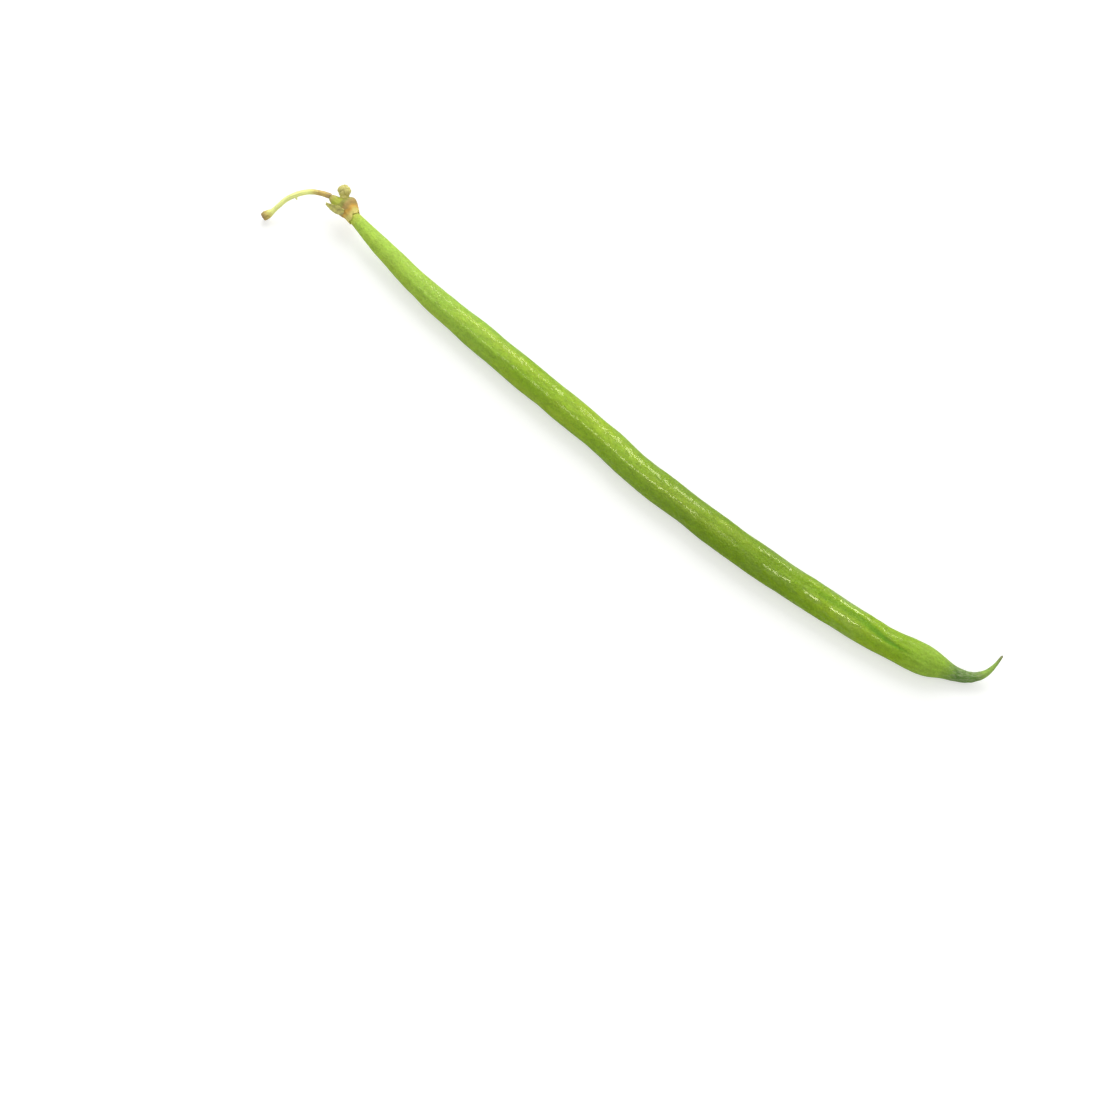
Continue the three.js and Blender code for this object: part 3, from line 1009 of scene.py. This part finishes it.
def knob_relief(settings):
    """The deep folds of the curled leaf."""
    def relief(distance, angle, radius):
        point = surface_point(distance, angle, radius)
        folds = 1 - abs(noise.noise(point * 0.55 + Vector((3.1, 0.4, 2.2)))) * 3.4
        fine = noise.noise(point * 1.6)
        depth = settings.crumple / MM * smoothstep(distance, 0.0, 0.7)
        return -depth * max(folds, 0) ** 2 + 0.25 * depth * fine + 0.3 * depth
    return relief


class BEAN_OT_bracteoles(bpy.types.Operator):
    """Builds the two small leaves on the calyx"""
    bl_idname = "bean.bracteoles"
    bl_label = "Bracteoles"

    def execute(self, context):
        settings = context.scene.bean_bracteoles
        route, length = make_route("lower_leaf_route", LOWER_LEAF_ROUTE)
        lower = leaf_blade("bracteole_lower_leaf", LOWER_LEAF_OUTLINE, length, settings.thickness)
        model_relief(lower, leaf_relief)
        bend_along(lower, route, LOWER_LEAF_ROLL)
        leaf = withering_leaf("withering_leaf", settings.lower_colour, settings.lower_shade_and_vein_colour,
                              0.25 * MM)
        hand_over(lower, leaf, "bracteole_lower")

        route, length = make_route("knob_route", KNOB_ROUTE)
        radius_at = smooth_reader(KNOB_OUTLINE)
        rings = []
        for distance in even_steps(KNOB_OUTLINE[0][0], length, KNOB_STEP):
            radius = radius_at(distance) * MM
            rings.append((distance * MM, radius, KNOB_FLATNESS * radius, 0, 0))
        upper = draw_out("bracteole_upper_knob", rings, KNOB_SIDES)
        model_relief(upper, knob_relief(settings))
        bend_along(upper, route)
        leaf = withering_leaf("withered_leaf", settings.upper_colour, settings.upper_shade_and_vein_colour,
                              settings.crumple)
        hand_over(upper, leaf, "bracteole_upper")
        return {"FINISHED"}


# ---- Stage ----

# The point on the surface that the camera aims at, in metres.
AIM = Vector((6.0145, -27.434, 0)) * MM
SENSOR_WIDTH = 36  # mm
# A hair's breadth lower than what rests on it, so that no two faces share a plane.
FLOOR_HEIGHT = -0.02 * MM

# Lamps: places and sizes in metres, each size along the bean and across it, and colours.
KEY_PLACE = Vector((-0.4, 0.67, 0.76))
KEY_SIZE = (0.8, 0.8)
KEY_COLOUR = (1.0, 0.99, 0.96)
STRIP_PLACES = {
    "low_glint_lamp": Vector((-0.25, -0.33, 0.94)),
    "high_glint_lamp": Vector((-0.25, 0.83, 0.56)),
}
STRIP_SIZE = (0.6, 0.28)
STRIP_COLOUR = (1.0, 0.97, 0.6)
WHITE = (1, 1, 1, 1)


def add_lamp(name, place, size, power, colour):
    """A soft lamp that looks down at the line of the bean, from its side, and returns it."""
    data = bpy.data.lights.new(name, "AREA")
    data.shape = "RECTANGLE"
    data.size, data.size_y = size
    data.energy = power
    data.color = colour
    lamp = bpy.data.objects.new(name, data)
    bpy.context.scene.collection.objects.link(lamp)
    lamp.location = place
    lamp.rotation_euler = (-math.atan2(place.y, place.z), 0, 0)
    return lamp


def studio_world(strength):
    """A world that lights evenly at a strength, and that is white where it shows or is mirrored."""
    world = bpy.data.worlds.new("studio")
    world.use_nodes = True
    world.node_tree.nodes.clear()
    rays = add_node(world, "LightPath")
    ambient = add_node(world, "Background", {"Color": WHITE, "Strength": strength})
    shown = add_node(world, "Background", {"Color": WHITE, "Strength": 1})
    mirrored = add_node(
        world, "Math", {0: rays.outputs["Is Glossy Ray"], 1: rays.outputs["Is Transmission Ray"]},
        operation="MAXIMUM")
    seen = add_node(world, "Math", {0: rays.outputs["Is Camera Ray"], 1: mirrored},
                    operation="MAXIMUM")
    mixed = add_node(world, "MixShader", {0: seen, 1: ambient, 2: shown})
    add_node(world, "OutputWorld", {"Surface": mixed})
    return world


def add_camera(settings):
    """A camera that looks down at the bean, and returns it."""
    azimuth = settings.camera_azimuth
    elevation = settings.camera_elevation
    back = Vector((math.sin(azimuth) * math.cos(elevation),
                   -math.cos(azimuth) * math.cos(elevation), math.sin(elevation)))
    data = bpy.data.cameras.new("camera")
    data.lens = settings.lens
    data.sensor_width = SENSOR_WIDTH
    data.clip_start = 10 * MM
    camera = bpy.data.objects.new("camera", data)
    bpy.context.scene.collection.objects.link(camera)
    camera.location = AIM + back * settings.camera_distance
    # A camera looks along its own -Z, with its Y up.
    camera.rotation_euler = back.to_track_quat("Z", "Y").to_euler()
    return camera


class BEAN_OT_stage(bpy.types.Operator):
    """Builds the surface, the lamps, the world and the camera"""
    bl_idname = "bean.stage"
    bl_label = "Stage"

    def execute(self, context):
        settings = context.scene.bean_stage
        scene = context.scene
        deselect_all()
        bpy.ops.mesh.primitive_plane_add(size=settings.floor_size, location=(0, 0, FLOOR_HEIGHT))
        floor = context.object
        floor.name = "stage_floor"
        floor.data.materials.append(white_board())

        # The key lamp only lights, and the two strips along the bean only show in what shines.
        key = add_lamp("key_lamp", KEY_PLACE, KEY_SIZE, settings.key_power, KEY_COLOUR)
        key.visible_glossy = False
        for name, place in STRIP_PLACES.items():
            strip = add_lamp(name, place, STRIP_SIZE, settings.glint_power, STRIP_COLOUR)
            strip.visible_diffuse = False

        scene.world = studio_world(settings.ambient)
        scene.camera = add_camera(settings)
        scene.view_settings.view_transform = "Standard"
        return {"FINISHED"}


# ---- Add-on ----

OPERATORS = (BEAN_OT_pod, BEAN_OT_calyx, BEAN_OT_pedicel, BEAN_OT_bracteoles, BEAN_OT_stage)
SETTINGS = {
    "bean_pod": PodSettings,
    "bean_calyx": CalyxSettings,
    "bean_pedicel": PedicelSettings,
    "bean_bracteoles": BracteoleSettings,
    "bean_stage": StageSettings,
}


class BEAN_PT_panel(bpy.types.Panel):
    """Lists the pieces with their settings"""
    bl_idname = "BEAN_PT_panel"
    bl_label = "Green bean"
    bl_space_type = "VIEW_3D"
    bl_region_type = "UI"
    bl_category = "Bean"

    def draw(self, context):
        for operator, name in zip(OPERATORS, SETTINGS):
            box = self.layout.box()
            box.operator(operator.bl_idname)
            group = getattr(context.scene, name)
            for setting in group.__annotations__:
                box.prop(group, setting)


CLASSES = (*SETTINGS.values(), *OPERATORS, BEAN_PT_panel)


def register():
    """Registers the classes and gives the scene its settings."""
    for entry in CLASSES:
        bpy.utils.register_class(entry)
    for name, group in SETTINGS.items():
        setattr(bpy.types.Scene, name, PointerProperty(type=group))


def unregister():
    """Undoes what register does."""
    for name in SETTINGS:
        delattr(bpy.types.Scene, name)
    for entry in reversed(CLASSES):
        bpy.utils.unregister_class(entry)


def main():
    """Builds the bean and its stage."""
    register()
    bpy.ops.bean.pod()
    bpy.ops.bean.calyx()
    bpy.ops.bean.pedicel()
    bpy.ops.bean.bracteoles()
    bpy.ops.bean.stage()


if __name__ == "__main__":
    main()
